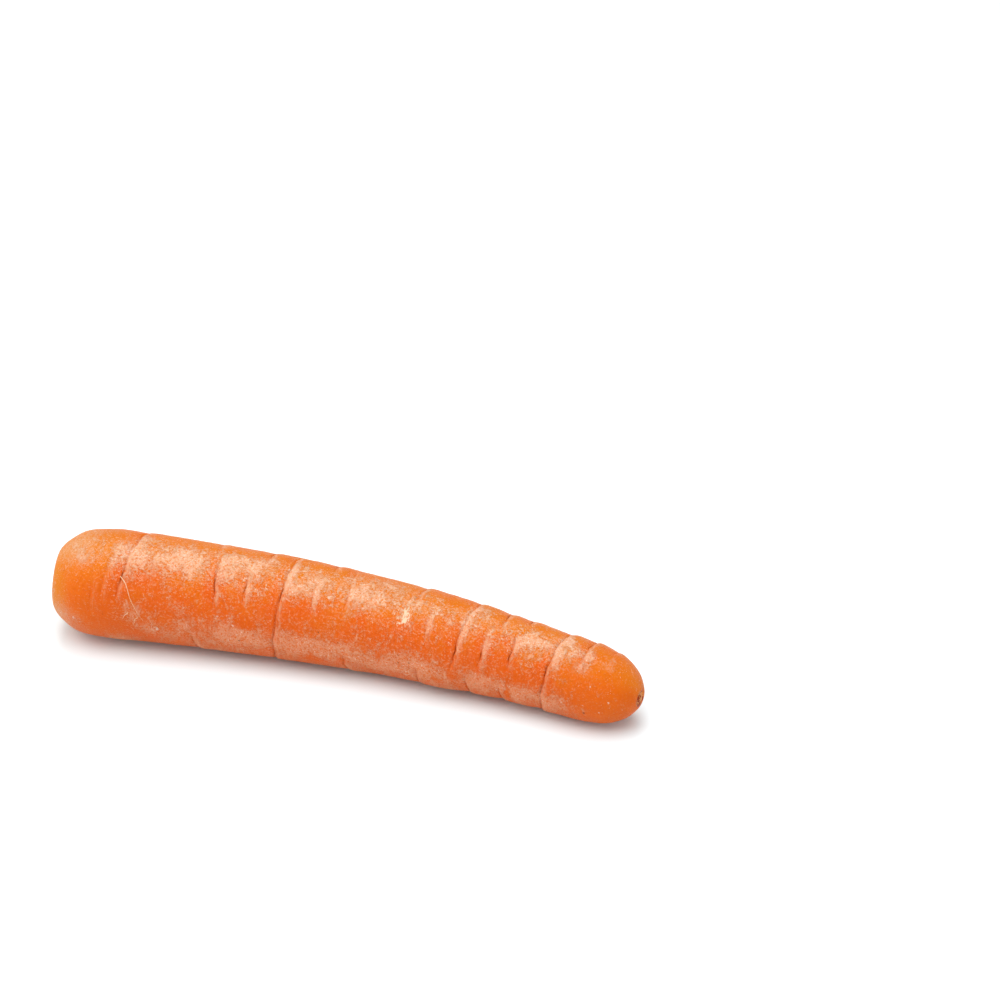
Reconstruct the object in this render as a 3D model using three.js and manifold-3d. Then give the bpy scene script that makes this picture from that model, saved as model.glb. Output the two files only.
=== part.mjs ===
// A blunt-tipped carrot lying on a table, with the cut leaf stalks still in its crown.
// Millimetres, +Z up. +X runs from the crown to the tip, -Y is the side that the bend curls towards,
// and the origin is the middle of the footprint, on the table.
//
// The root is one solid. It is a turned profile, bent sideways along its length, whose skin is then
// pushed in at the growth creases and out at the rings between them. The leaf stalks, trimmed close,
// are one tuft that sits in the hollow at the middle of the crown.
import * as THREE from "three";
import Module from "manifold-3d";
import { mergeVertices } from "three/addons/utils/BufferGeometryUtils.js";

const wasm = await Module();
wasm.setup();

// Driving dimensions of the root
const rootLength = 190;
const bendSide = 9; // how far the middle stands to the side of a line through the two ends
const bendSkew = 0.9; // moves the deepest point of the bend towards the tip
const pressedFlat = 0.4; // depth of the flat that the skin makes on the table
const crownTilt = 0.06; // slope of the crown's face, whose top lies nearer to the tip
const tiltReach = 20; // distance from the crown at which that slope has died out
const shoulderFade = [6, 14]; // distances from the crown over which the skin's relief sets in
const tipFade = [4, 14]; // distances from the tip over which it sets in there
const rootSides = 40;
const ringSpacing = 1.7;

// Radius of the root along its length: [distance from the crown, radius].
// It starts in the eye of the crown, goes over the shoulder and ends in the scar at the tip.
const eyeAndShoulder = [
  [3.6, 0],
  [3.6, 2.6],
  [3.5, 5.0],
  [2.0, 5.6],
  [0.6, 6.9],
  [0, 8.7],
  [1.1, 10.9],
  [3.6, 13.2],
  [8, 15.9],
  [16, 17.1],
];
const body = [
  [30, 17.0],
  [48, 16.6],
  [68, 16.1],
  [88, 15.6],
  [108, 15.0],
  [128, 14.1],
  [146, 13.0],
  [162, 12.5],
  [174, 12.0],
];
const tip = [
  [181.5, 10.5],
  [186.4, 7.6],
  [188.8, 4.7],
  [189.7, 2.8],
  [189.3, 1.5],
  [190, 0.7],
  [190, 0],
];

// Height of the root's middle line above the table: [distance from the crown, height]
const restHeights = [
  [0, 18.3],
  [16, 17.8],
  [30, 17.4],
  [48, 16.8],
  [68, 16.2],
  [88, 15.6],
  [108, 14.95],
  [128, 14.3],
  [146, 13.7],
  [162, 13.2],
  [174, 12.8],
  [rootLength, 12.3],
];

// Growth creases. "from" and "to" are degrees round from the top towards -Y, "at" is the distance from
// the crown at the near angle, "lean" is how far the crease drifts towards the tip over 100 degrees, and
// "lip" is the height of the ring that stands up on its tip side.
const nearAngle = 40;
const creaseReach = 9; // further off than this, a crease doesn't move the skin
const softEnd = 16; // degrees over which a crease dies out at its ends
const waistShare = 0.35; // depth of the wide dip that a crease lies in, beside its own depth
const waistWidth = 4;
const lipReach = 1.8; // distance from a crease to the top of its ring
const creases = [
  { at: 14.2, from: 52, to: 84, lean: 0, depth: 0.25, width: 0.7, lip: 0.1 },
  { at: 18.6, from: 24, to: 70, lean: -4, depth: 0.3, width: 0.7, lip: 0.15 },
  { at: 23.9, from: -60, to: 68, lean: -5, depth: 0.8, width: 0.8, lip: 0.3 },
  { at: 32.8, from: 12, to: 50, lean: 0, depth: 0.2, width: 0.8, lip: 0.1 },
  { at: 47, from: 105, to: 165, lean: 0, depth: 0.5, width: 0.9, lip: 0.2 },
  { at: 51.4, from: -75, to: 0, lean: 0, depth: 0.4, width: 1, lip: 0.2 },
  { at: 53.4, from: 6, to: 62, lean: 1, depth: 0.6, width: 0.8, lip: 0.3 },
  { at: 63.2, from: 18, to: 56, lean: 0, depth: 0.45, width: 0.8, lip: 0.2 },
  { at: 68, from: -80, to: -8, lean: 0, depth: 0.45, width: 1, lip: 0.25 },
  { at: 74.6, from: -30, to: 190, lean: -2, depth: 0.85, width: 0.9, lip: 0.35 },
  { at: 84.8, from: 20, to: 54, lean: 1, depth: 0.35, width: 0.8, lip: 0.2 },
  { at: 88.4, from: -85, to: -12, lean: 0, depth: 0.45, width: 1, lip: 0.3 },
  { at: 95.8, from: -26, to: 44, lean: 2, depth: 0.35, width: 0.7, lip: 0.2 },
  { at: 96.4, from: 100, to: 170, lean: 0, depth: 0.45, width: 0.9, lip: 0.25 },
  { at: 115.5, from: -100, to: 4, lean: -2, depth: 0.75, width: 1, lip: 0.45 },
  { at: 120.6, from: 98, to: 160, lean: 0, depth: 0.5, width: 0.9, lip: 0.3 },
  { at: 122.4, from: 16, to: 56, lean: 0, depth: 0.3, width: 0.8, lip: 0.2 },
  { at: 133.2, from: -70, to: 82, lean: -2, depth: 0.85, width: 0.9, lip: 0.45 },
  { at: 137, from: 98, to: 185, lean: 0, depth: 0.65, width: 0.9, lip: 0.35 },
  { at: 141.2, from: 18, to: 78, lean: 0, depth: 0.45, width: 0.8, lip: 0.25 },
  { at: 144.6, from: -80, to: 14, lean: 0, depth: 0.7, width: 0.9, lip: 0.4 },
  { at: 148, from: 100, to: 190, lean: 0, depth: 0.75, width: 0.9, lip: 0.4 },
  { at: 150.3, from: 18, to: 66, lean: 1, depth: 0.65, width: 0.8, lip: 0.35 },
  { at: 151.8, from: -90, to: -10, lean: 0, depth: 0.5, width: 0.9, lip: 0.3 },
  { at: 163, from: -95, to: 175, lean: -2, depth: 0.9, width: 0.9, lip: 0.5 },
  { at: 172.4, from: -80, to: 28, lean: 0, depth: 0.5, width: 0.9, lip: 0.35 },
  { at: 179.4, from: -95, to: -12, lean: 0, depth: 0.45, width: 0.9, lip: 0.4 },
];

// The far side carries more of them, spaced by a rule.
const farCreases = 14;
const farStart = 20;
const farPitch = 11.3;
for (let i = 0; i < farCreases; i++) {
  const middle = 228 + 34 * Math.sin(2.4 * i);
  const halfSpan = 30 + 14 * Math.cos(1.7 * i);
  creases.push({
    at: farStart + farPitch * i + 2.5 * Math.sin(4.1 * i),
    from: middle - halfSpan,
    to: middle + halfSpan,
    lean: 2 * Math.sin(3.3 * i),
    depth: 0.45 + 0.2 * Math.cos(2.9 * i),
    width: 0.9,
    lip: 0.25,
  });
}

// Gentle swells of the skin between creases, and dips where the rise is negative: "rise" is the height in
// the middle, "length" and "span" are how far it spreads along the root and, in degrees, round it.
const swells = [
  { at: 107, angle: 118, length: 9, span: 34, rise: -0.45 },
  { at: 129, angle: 116, length: 6, span: 34, rise: 0.65 },
  { at: 143, angle: 116, length: 4, span: 34, rise: 0.4 },
  { at: 155, angle: 116, length: 5, span: 34, rise: 0.35 },
  { at: 47, angle: 215, length: 12, span: 40, rise: 0.4 },
  { at: 96, angle: 240, length: 9, span: 38, rise: -0.4 },
  { at: 125, angle: 225, length: 8, span: 38, rise: 0.45 },
];

// Driving dimensions of the leaf stalks
const tuftRadius = 4.5;
const tuftFoot = 3.25; // distance of the tuft's foot below the rim of the crown
const tuftFloor = 1.9; // distance of the floor between the stalks below that rim
const outerStalks = 7;
const innerStalks = 4;
const stalkNarrowing = 0.06; // share of its width that a stalk loses in each millimetre of height
const raggedCut = 0.22; // how far the cut across a stalk rises and falls

const degrees = Math.PI / 180;

// A smooth line through [along, across] points, as an array of Vector2
function smoothLine(points, steps) {
  const curve = new THREE.CatmullRomCurve3(
    points.map(([along, across]) => new THREE.Vector3(along, across, 0)),
    false,
    "centripetal",
  );
  return curve.getPoints(steps).map((p) => new THREE.Vector2(p.x, p.y));
}

// The height of a line at one distance, found between its two nearest samples
function readLine(line, along) {
  const next = line.findIndex((p) => p.x >= along);
  if (next <= 0) return line[next === 0 ? 0 : line.length - 1].y;
  const [a, b] = [line[next - 1], line[next]];
  return a.y + ((along - a.x) / (b.x - a.x)) * (b.y - a.y);
}

const restLine = smoothLine(restHeights, 200);

// The middle line of the root at a distance from the crown: where it is and which way it runs
function middleLine(along) {
  const t = (2 * along) / rootLength - 1;
  const side = bendSide * (1 - t * t) + bendSkew * (t - t ** 3);
  const slope = ((-2 * t * bendSide + bendSkew * (1 - 3 * t * t)) * 2) / rootLength;
  const height = readLine(restLine, Math.min(Math.max(along, 0), rootLength)) - pressedFlat;
  return {
    point: new THREE.Vector3(along - rootLength / 2, side, height),
    heading: Math.atan(slope),
  };
}

// Degrees from one angle to another, the short way round
function shortWay(from, to) {
  return THREE.MathUtils.euclideanModulo(to - from + 180, 360) - 180;
}

// How high a swell stands at a place on the skin
function swellHeight(swell, along, angle) {
  const ahead = (along - swell.at) / swell.length;
  const round = shortWay(swell.angle, angle) / swell.span;
  return swell.rise * Math.exp(-(ahead ** 2) - round ** 2);
}

// 0 outside a crease's stretch, 1 inside it, with soft ends, at some degrees from its middle
function creaseWindow(crease, away) {
  const halfSpan = (crease.to - crease.from) / 2;
  return THREE.MathUtils.smoothstep(halfSpan + softEnd / 2 - Math.abs(away), 0, softEnd);
}

// How far the skin stands out (+) or in (-) of the smooth body at a place on it
function skinRelief(along, angle) {
  const turn = angle * degrees;
  const unevenness =
    0.16 * Math.sin(along / 9 + 1.3 * Math.sin(turn)) +
    0.14 * Math.sin(2 * turn + along / 23) +
    0.1 * Math.sin(3 * turn - along / 14);
  const settled = 0.6 + 0.4 * Math.cos(turn);
  let relief = unevenness * settled;
  for (const swell of swells) {
    relief += swellHeight(swell, along, angle);
  }
  for (const crease of creases) {
    const middle = (crease.from + crease.to) / 2;
    const away = shortWay(middle, angle);
    const drift = (crease.lean * (middle + away - nearAngle)) / 100;
    const past = along - crease.at - drift;
    if (Math.abs(past) > creaseReach) continue;
    const present = creaseWindow(crease, away);
    const groove = Math.exp(-((past / crease.width) ** 2));
    const waist = waistShare * Math.exp(-((past / waistWidth) ** 2));
    const ahead = Math.max(past, 0) / lipReach;
    const lip = ahead * Math.exp(1 - ahead);
    relief += present * (crease.lip * lip - crease.depth * (groove + waist));
  }
  const pastShoulder = THREE.MathUtils.smoothstep(along, ...shoulderFade);
  const beforeTip = THREE.MathUtils.smoothstep(rootLength - along, ...tipFade);
  return relief * pastShoulder * beforeTip;
}

// The root: a turned profile whose points are carried onto the bent middle line
function makeRoot() {
  const crown = smoothLine([...eyeAndShoulder, body[0]], 26);
  const trunk = smoothLine([eyeAndShoulder.at(-1), ...body, tip[0]], 400);
  const end = smoothLine([body.at(-1), ...tip], 22);
  const shoulder = eyeAndShoulder.at(-1)[0];
  const taper = tip[0][0];
  const profile = crown.filter((p) => p.x < shoulder);
  const rings = Math.round((taper - shoulder) / ringSpacing);
  for (let i = 0; i <= rings; i++) {
    const along = shoulder + ((taper - shoulder) * i) / rings;
    profile.push(new THREE.Vector2(along, readLine(trunk, along)));
  }
  profile.push(...end.filter((p) => p.x > taper));
  profile[0].y = 0;
  profile.at(-1).y = 0;

  // LatheGeometry turns (radius, height) pairs about Y.
  const turned = new THREE.LatheGeometry(
    profile.map((p) => new THREE.Vector2(p.y, p.x)),
    rootSides,
  );
  const position = turned.getAttribute("position");
  const place = new THREE.Vector3();
  for (let i = 0; i < position.count; i++) {
    place.fromBufferAttribute(position, i);
    const along = place.y;
    const turn = Math.atan2(place.x, place.z);
    const plain = Math.hypot(place.x, place.z);
    const radius = plain < 1e-6 ? 0 : plain + skinRelief(along, turn / degrees);
    const tilted = 1 - THREE.MathUtils.smoothstep(along, 0, tiltReach);
    const { point, heading } = middleLine(along + crownTilt * tilted * radius * Math.cos(turn));
    const toSide = -radius * Math.sin(turn);
    position.setXYZ(
      i,
      point.x - toSide * Math.sin(heading),
      point.y + toSide * Math.cos(heading),
      Math.max(0, point.z + radius * Math.cos(turn)),
    );
  }
  return turned;
}

function asSolid(geometry) {
  const bare = geometry.index ? geometry.toNonIndexed() : geometry.clone();
  bare.deleteAttribute("normal");
  bare.deleteAttribute("uv");
  const merged = mergeVertices(bare, 1e-3);
  return new wasm.Manifold(
    new wasm.Mesh({
      numProp: 3,
      vertProperties: new Float32Array(merged.getAttribute("position").array),
      triVerts: new Uint32Array(merged.index.array),
    }),
  );
}

function asGeometry(solid) {
  const mesh = solid.getMesh();
  const vertices = new Float32Array(mesh.numVert * 3);
  for (let i = 0; i < mesh.numVert; i++) {
    const start = i * mesh.numProp;
    vertices.set(mesh.vertProperties.subarray(start, start + 3), i * 3);
  }
  const geometry = new THREE.BufferGeometry();
  geometry.setAttribute("position", new THREE.BufferAttribute(vertices, 3));
  geometry.setIndex(new THREE.BufferAttribute(new Uint32Array(mesh.triVerts), 1));
  geometry.computeVertexNormals();
  return geometry;
}

// One cut leaf stalk: a crescent in section, its hollow side facing the middle of the crown.
// It stands on z = 0 and leans outwards.
function makeStalk(width, thickness, height, lean) {
  const half = width / 2;
  const crescent = new THREE.Shape();
  crescent.moveTo(-half, -thickness * 0.4);
  crescent.quadraticCurveTo(0, thickness * 1.4, half, -thickness * 0.4);
  crescent.quadraticCurveTo(0, thickness * 0.1, -half, -thickness * 0.4);
  const stalk = new THREE.ExtrudeGeometry(crescent, {
    depth: height,
    steps: 2,
    curveSegments: 4,
    bevelEnabled: false,
  });
  const position = stalk.getAttribute("position");
  for (let i = 0; i < position.count; i++) {
    const up = position.getZ(i);
    const spread = 1 - stalkNarrowing * up;
    position.setXYZ(
      i,
      position.getX(i) * spread,
      position.getY(i) * spread + lean * up,
      up + raggedCut * Math.sin(2.1 * position.getX(i)) * (up / height),
    );
  }
  return stalk;
}

// The tuft: two rounds of cut stalks on a common foot. It stands on z = 0, +Z out of the crown.
function makeLeafStalks() {
  const footThickness = tuftFoot - tuftFloor;
  const foot = new THREE.CylinderGeometry(tuftRadius, tuftRadius - 0.2, footThickness, 24);
  foot.rotateX(Math.PI / 2).translate(0, 0, footThickness / 2);
  let tuft = asSolid(foot);
  const rounds = [
    { count: outerStalks, reach: 3.2, width: 3.3, thickness: 1.1, tallest: 3.4, lean: 0.1 },
    { count: innerStalks, reach: 1.4, width: 1.9, thickness: 0.9, tallest: 3.0, lean: 0.05 },
  ];
  for (const round of rounds) {
    for (let i = 0; i < round.count; i++) {
      const height = round.tallest * (0.78 + 0.22 * Math.cos(2.6 * i + round.count));
      const stalk = makeStalk(round.width, round.thickness, height, round.lean);
      stalk.translate(0, round.reach, footThickness * 0.5);
      stalk.rotateZ((2 * Math.PI * i) / round.count + 0.2 * Math.sin(3 * i));
      tuft = tuft.add(asSolid(stalk));
    }
  }
  const heart = new THREE.CylinderGeometry(0.5, 0.8, 1.6, 8);
  heart.rotateX(Math.PI / 2).translate(0, 0, footThickness + 0.5);
  return asGeometry(tuft.add(asSolid(heart)));
}

const carrotOrange = new THREE.MeshStandardMaterial({
  color: 0xe8731e,
  roughness: 0.5,
  metalness: 0,
});
const stalkGreen = new THREE.MeshStandardMaterial({
  color: 0x7d7a3c,
  roughness: 0.85,
  metalness: 0,
});

const root = new THREE.Mesh(makeRoot(), carrotOrange);
root.name = "root";

// The tuft turns from +Z to face out of the crown, at right angles to the crown's sloping face.
const leafStalks = new THREE.Mesh(makeLeafStalks(), stalkGreen);
leafStalks.name = "leaf_stalks";
const eye = middleLine(0);
leafStalks.rotation.set(0, crownTilt - Math.PI / 2, eye.heading, "ZYX");
leafStalks.position.set(
  eye.point.x + tuftFoot * Math.cos(eye.heading),
  eye.point.y + tuftFoot * Math.sin(eye.heading),
  eye.point.z,
);

const carrot = new THREE.Group();
carrot.add(root, leafStalks);
const footprint = new THREE.Box3().setFromObject(carrot, true);
const footprintMiddle = footprint.getCenter(new THREE.Vector3());
carrot.position.set(-footprintMiddle.x, -footprintMiddle.y, -footprint.min.z);

export default carrot;
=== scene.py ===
"""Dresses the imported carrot: its fine skin, its cut leaf stalks, its rootlets and a plain white studio."""

import math
from collections import namedtuple

import bpy
import numpy as np
from bpy.props import FloatProperty, FloatVectorProperty, IntProperty, PointerProperty
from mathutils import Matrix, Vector, noise


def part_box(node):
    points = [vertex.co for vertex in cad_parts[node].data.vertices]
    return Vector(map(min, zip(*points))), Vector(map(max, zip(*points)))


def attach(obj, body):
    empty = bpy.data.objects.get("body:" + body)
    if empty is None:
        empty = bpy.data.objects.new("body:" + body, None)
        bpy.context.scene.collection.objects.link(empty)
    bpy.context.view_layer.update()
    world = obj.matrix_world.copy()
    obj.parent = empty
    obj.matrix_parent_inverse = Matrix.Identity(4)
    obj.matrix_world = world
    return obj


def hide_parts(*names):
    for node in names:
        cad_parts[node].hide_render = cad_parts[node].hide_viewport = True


bl_info = {
    "name": "Carrot Dresser",
    "version": (1, 0, 0),
    "blender": (4, 5, 0),
    "location": "3D View > Sidebar > Carrot",
    "description": "Makes a carrot with creased skin, cut leaf stalks and rootlets, and a studio",
    "category": "Add Mesh",
}

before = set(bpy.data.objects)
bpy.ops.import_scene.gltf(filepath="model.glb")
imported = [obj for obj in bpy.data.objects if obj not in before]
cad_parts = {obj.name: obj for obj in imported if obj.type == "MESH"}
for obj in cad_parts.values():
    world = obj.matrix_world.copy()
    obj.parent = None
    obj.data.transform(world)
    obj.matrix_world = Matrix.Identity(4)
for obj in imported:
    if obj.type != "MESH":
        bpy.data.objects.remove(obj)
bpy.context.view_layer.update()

MM = 0.001

# Rings and sides of the coarse copy that sets the skin where the CAD root lies
FIT_RINGS = 400
FIT_SIDES = 72

# Half width of the studio floor, and how far it lies below the carrot, in metres
FLOOR_HALF = 6.0
FLOOR_DROP = 0.00005

# The root's outline in millimetres: distance from the crown, then radius.
# It runs from the eye of the crown, over the shoulder and down the body, to the scar at the tip.
OUTLINE = [
    (3.6, 0),
    (3.6, 2.6),
    (3.5, 5.0),
    (2.0, 5.6),
    (0.6, 6.9),
    (0, 8.7),
    (1.1, 10.9),
    (3.6, 13.2),
    (8, 15.9),
    (16, 17.1),
    (30, 17.0),
    (48, 16.6),
    (68, 16.1),
    (88, 15.6),
    (108, 15.0),
    (128, 14.1),
    (146, 13.0),
    (162, 12.5),
    (174, 12.0),
    (181.5, 10.5),
    (186.4, 7.6),
    (188.8, 4.7),
    (189.7, 2.8),
    (189.3, 1.5),
    (190, 0.7),
    (190, 0),
]

# Height of the root's middle line above the table in millimetres, at distances from the crown
REST_HEIGHTS = [
    (0, 18.3),
    (16, 17.8),
    (30, 17.4),
    (48, 16.8),
    (68, 16.2),
    (88, 15.6),
    (108, 14.95),
    (128, 14.3),
    (146, 13.7),
    (162, 13.2),
    (174, 12.8),
    (190, 12.3),
]

# A growth crease: its distance from the crown at the near angle, the degrees that it starts and ends
# at, how far it drifts towards the tip over 100 degrees, its depth, the height of the ring on its tip
# side, and the angle of its darkest stretch. Angles go round from the top towards -Y.
Crease = namedtuple("Crease", "at start end lean depth lip dark")
NEAR_ANGLE = 40

CREASES = [
    Crease(14.2, 52, 84, 0, 0.25, 0.1, 66),
    Crease(18.6, 24, 70, -4, 0.3, 0.15, 45),
    Crease(23.9, -60, 68, -5, 0.8, 0.3, 45),
    Crease(24.0, -26, 6, -5, 0.35, 0, -10),
    Crease(32.8, 12, 50, 0, 0.2, 0.1, 30),
    Crease(47, 105, 165, 0, 0.5, 0.2, 135),
    Crease(51.4, -75, 0, 0, 0.4, 0.2, -40),
    Crease(53.4, 6, 62, 1, 0.6, 0.3, 40),
    Crease(63.2, 18, 56, 0, 0.45, 0.2, 36),
    Crease(68, -80, -8, 0, 0.45, 0.25, -20),
    Crease(74.6, -30, 190, -2, 0.85, 0.35, 38),
    Crease(84.8, 20, 54, 1, 0.35, 0.2, 35),
    Crease(88.4, -85, -12, 0, 0.45, 0.3, -40),
    Crease(95.8, -26, 44, 2, 0.35, 0.2, 30),
    Crease(96.4, 100, 170, 0, 0.45, 0.25, 130),
    Crease(115.5, -100, 4, -2, 0.75, 0.45, -40),
    Crease(120.6, 98, 160, 0, 0.5, 0.3, 130),
    Crease(122.4, 16, 56, 0, 0.3, 0.2, 35),
    Crease(133.2, -70, 82, -2, 0.85, 0.45, 60),
    Crease(137, 98, 185, 0, 0.65, 0.35, 130),
    Crease(141.2, 18, 78, 0, 0.45, 0.25, 58),
    Crease(144.6, -80, 14, 0, 0.7, 0.4, -20),
    Crease(148, 100, 190, 0, 0.75, 0.4, 130),
    Crease(150.3, 18, 66, 1, 0.65, 0.35, 48),
    Crease(151.8, -90, -10, 0, 0.5, 0.3, -30),
    Crease(163, -95, 175, -2, 0.9, 0.5, 55),
    Crease(172.4, -80, 28, 0, 0.5, 0.35, -10),
    Crease(179.4, -95, -12, 0, 0.45, 0.4, -60),
]
FAR_CREASES = 14
FAR_START = 20
FAR_PITCH = 11.3
HAIRLINES = 90
# A crease shallower than this, in millimetres, has no waist round it
FINE_DEPTH = 0.17

# A patch of the skin: its middle as distance from the crown and angle, its half length in
# millimetres, its half span in degrees, and how strong it is
Patch = namedtuple("Patch", "at angle length span strength")

# Gentle swells of the skin between creases, as high as their strength in millimetres, and some dips
SWELLS = [
    Patch(107, 118, 9, 34, -0.45),
    Patch(129, 116, 6, 34, 0.65),
    Patch(143, 116, 4, 34, 0.4),
    Patch(155, 116, 5, 34, 0.35),
    Patch(47, 215, 12, 40, 0.4),
    Patch(96, 240, 9, 38, -0.4),
    Patch(125, 225, 8, 38, 0.45),
]

# Pale dry film; the first two patches, on the crown's shoulder and its lower flank, stand for painted
# highlight
FILM_PATCHES = [
    Patch(9, 12, 7, 28, 0.75),
    Patch(6, 110, 6, 26, 0.7),
    Patch(22, 12, 1.6, 11, 0.9),
    Patch(10.5, 30, 2.4, 5, 0.5),
    Patch(21, 32, 1.4, 9, 0.5),
    Patch(28, 22, 4.5, 20, 0.7),
    Patch(30, -7, 4, 7, 0.45),
    Patch(42, 15, 6.5, 17, 1.0),
    Patch(57, 18, 3, 16, 0.9),
    Patch(61, 0, 6, 6, 0.5),
    Patch(64.5, 14, 3, 9, 0.7),
    Patch(65, 36, 2, 14, 0.45),
    Patch(42.5, 70, 3, 7, 0.35),
    Patch(28, 84, 4, 10, 0.5),
    Patch(33, 102, 2.5, 9, 0.7),
    Patch(39.5, 107, 3.5, 9, 0.8),
    Patch(45, 88, 3, 9, 0.6),
    Patch(57, 98, 5, 17, 0.6),
    Patch(66, 97, 7, 13, 0.8),
    Patch(47.5, 124, 2.5, 12, 0.6),
    Patch(70, -4, 3, 8, 0.4),
    Patch(76.9, 13, 1.2, 18, 0.9),
    Patch(80.5, 28, 4, 8, 0.5),
    Patch(85.5, 16, 3, 12, 0.6),
    Patch(86, 36, 1, 12, 0.5),
    Patch(83, 97, 8, 14, 0.85),
    Patch(94, 94, 8, 12, 0.7),
    Patch(101, 18, 7, 18, 0.6),
    Patch(105, 24, 2.5, 9, 0.4),
    Patch(106, -14, 8, 14, 0.6),
    Patch(118, 14, 3, 8, 0.4),
    Patch(123, 34, 1, 14, 0.6),
    Patch(108, 104, 9, 14, 0.75),
    Patch(121, 95, 9, 17, 0.75),
    Patch(134.2, 24, 1.3, 26, 0.9),
    Patch(136.5, -13, 3, 9, 0.5),
    Patch(142.3, 54, 1.2, 20, 0.5),
    Patch(143, 98, 8, 15, 0.75),
    Patch(154, 26, 3.5, 11, 0.7),
    Patch(155.5, 11, 1.8, 9, 0.9),
    Patch(160, 18, 3, 8, 0.7),
    Patch(164.8, 24, 1.7, 22, 0.9),
    Patch(166, -5, 3, 14, 0.7),
    Patch(172, 16, 4, 10, 0.8),
    Patch(173.5, 36, 2.5, 8, 0.6),
    Patch(180.6, 18, 2, 6, 0.5),
    Patch(180.7, 3, 0.9, 8, 0.7),
    Patch(157, 100, 6, 14, 0.8),
    Patch(165, 106, 4, 14, 0.8),
]

# Clean places that show through the film
BARE_PATCHES = [
    Patch(65, 79, 2.5, 5, 0.7),
    Patch(85.5, 115, 2.5, 10, 0.8),
    Patch(97, 107, 2, 8, 0.5),
    Patch(108, 91, 2, 4, 0.5),
    Patch(127.5, 106, 2, 7, 0.6),
    Patch(133.5, 97, 2, 8, 0.6),
    Patch(151, 104, 1, 22, 0.8),
    Patch(154.5, 76, 2, 5, 0.6),
    Patch(157, -12, 2, 5, 0.5),
    Patch(128.5, -12, 2.5, 10, 0.6),
    Patch(86, -17, 2, 8, 0.6),
    Patch(168.5, -15, 1.8, 8, 0.5),
]
FAR_PATCHES = 46

# Small marks: distance from the crown, angle, size in millimetres
PITS = [
    (95, 81, 0.5),
    (88.5, 73, 0.4),
    (103.5, 61, 0.45),
    (115, 82, 0.4),
    (118.6, 90, 0.5),
    (115, 93, 0.35),
    (176.2, 105, 0.7),
    (62.3, 101, 0.5),
    (77.4, 100, 0.4),
    (50.4, 92, 0.35),
    (140.3, 100, 0.5),
]
FAR_PITS = 26
FLECKS = [
    (35.6, 100, 0.75),
    (55.4, 74, 0.5),
    (60.5, 81, 0.45),
    (67, 77, 0.4),
    (8.4, 100, 0.6),
    (90, 31, 0.6),
    (176, 89, 0.35),
    (177.5, 56, 0.35),
    (181, 99, 0.35),
    (183.5, 76, 0.4),
]
SCAR = Patch(115.1, 33, 3.2, 22, 1.0)

# The cushion that the leaf stalks stand on: share of the tuft's radius, then height in millimetres
BED_OUTLINE = [(0.3, 0), (0.96, 0.05), (1.0, 0.5), (0.97, 1.25), (0.7, 1.6), (0.35, 1.8), (0.1, 1.9)]
OUTER_STALKS = 8
INNER_STALKS = 4
PAPERY_SHREDS = 9
WALL_SHREDS = 22

# Rootlets that lie on the skin, as (distance from the crown, angle) points
ROOTLETS = [
    [(23.4, 44), (25.2, 50), (26.3, 58), (27, 65), (28.5, 75), (30, 84), (31.3, 91)],
    [(26.6, 82), (25.4, 86), (24.6, 91)],
    [(29.6, 87), (28.6, 90), (28.4, 95)],
    [(118, 212), (119.5, 219), (122, 226), (123.4, 236)],
    [(61, 251), (62, 258), (64.6, 263), (65.6, 272)],
    [(148, 268), (149.2, 276), (151, 280)],
]


def smooth_line(points, per_span):
    """A centripetal Catmull-Rom line through the points, as an array of [along, across]."""
    knots = np.array(points, float)
    knots = np.vstack([2 * knots[0] - knots[1], knots, 2 * knots[-1] - knots[-2]])
    spans = []
    for i in range(1, len(knots) - 2):
        a, b, c, d = knots[i - 1 : i + 3]
        gaps = [max(np.linalg.norm(q - p), 1e-6) ** 0.5 for p, q in ((a, b), (b, c), (c, d))]
        t0, t1, t2, t3 = np.cumsum([0.0] + gaps)
        t = np.linspace(t1, t2, per_span, endpoint=False)[:, None]
        ab = (t1 - t) / (t1 - t0) * a + (t - t0) / (t1 - t0) * b
        bc = (t2 - t) / (t2 - t1) * b + (t - t1) / (t2 - t1) * c
        cd = (t3 - t) / (t3 - t2) * c + (t - t2) / (t3 - t2) * d
        abc = (t2 - t) / (t2 - t0) * ab + (t - t0) / (t2 - t0) * bc
        bcd = (t3 - t) / (t3 - t1) * bc + (t - t1) / (t3 - t1) * cd
        spans.append((t2 - t) / (t2 - t1) * abc + (t - t1) / (t2 - t1) * bcd)
    return np.vstack(spans + [knots[-2][None]])


def smooth_step(value, low, high):
    """0 below low, 1 above high, and an S between them."""
    t = np.clip((value - low) / (high - low), 0, 1)
    return t * t * (3 - 2 * t)


def bell(away, width):
    """1 where away is 0, falling to about a third where it is the width."""
    return np.exp(-((away / width) ** 2))


def short_way(start, angle):
    """Degrees from one angle to another, the short way round."""
    return (angle - start + 180) % 360 - 180


def turned_away(angle, middle):
    """Degrees between two angles, the short way round."""
    return np.abs(short_way(middle, angle))


def noise_at(places, seed):
    """Smooth noise from -1 to 1 at each place of an (n, 3) array."""
    offset = Vector((17.3 * seed, -9.1 * seed, 4.7 * seed))
    return np.array([noise.noise(Vector(place) + offset) for place in places])


def far_side_creases():
    """Creases of the side that lies away, spaced by a rule."""
    made = []
    for i in range(FAR_CREASES):
        middle = 228 + 34 * math.sin(2.4 * i)
        half_span = 30 + 14 * math.cos(1.7 * i)
        made.append(
            Crease(
                at=FAR_START + FAR_PITCH * i + 2.5 * math.sin(4.1 * i),
                start=middle - half_span,
                end=middle + half_span,
                lean=2 * math.sin(3.3 * i),
                depth=0.45 + 0.2 * math.cos(2.9 * i),
                lip=0.25,
                dark=middle,
            )
        )
    return made


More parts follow.
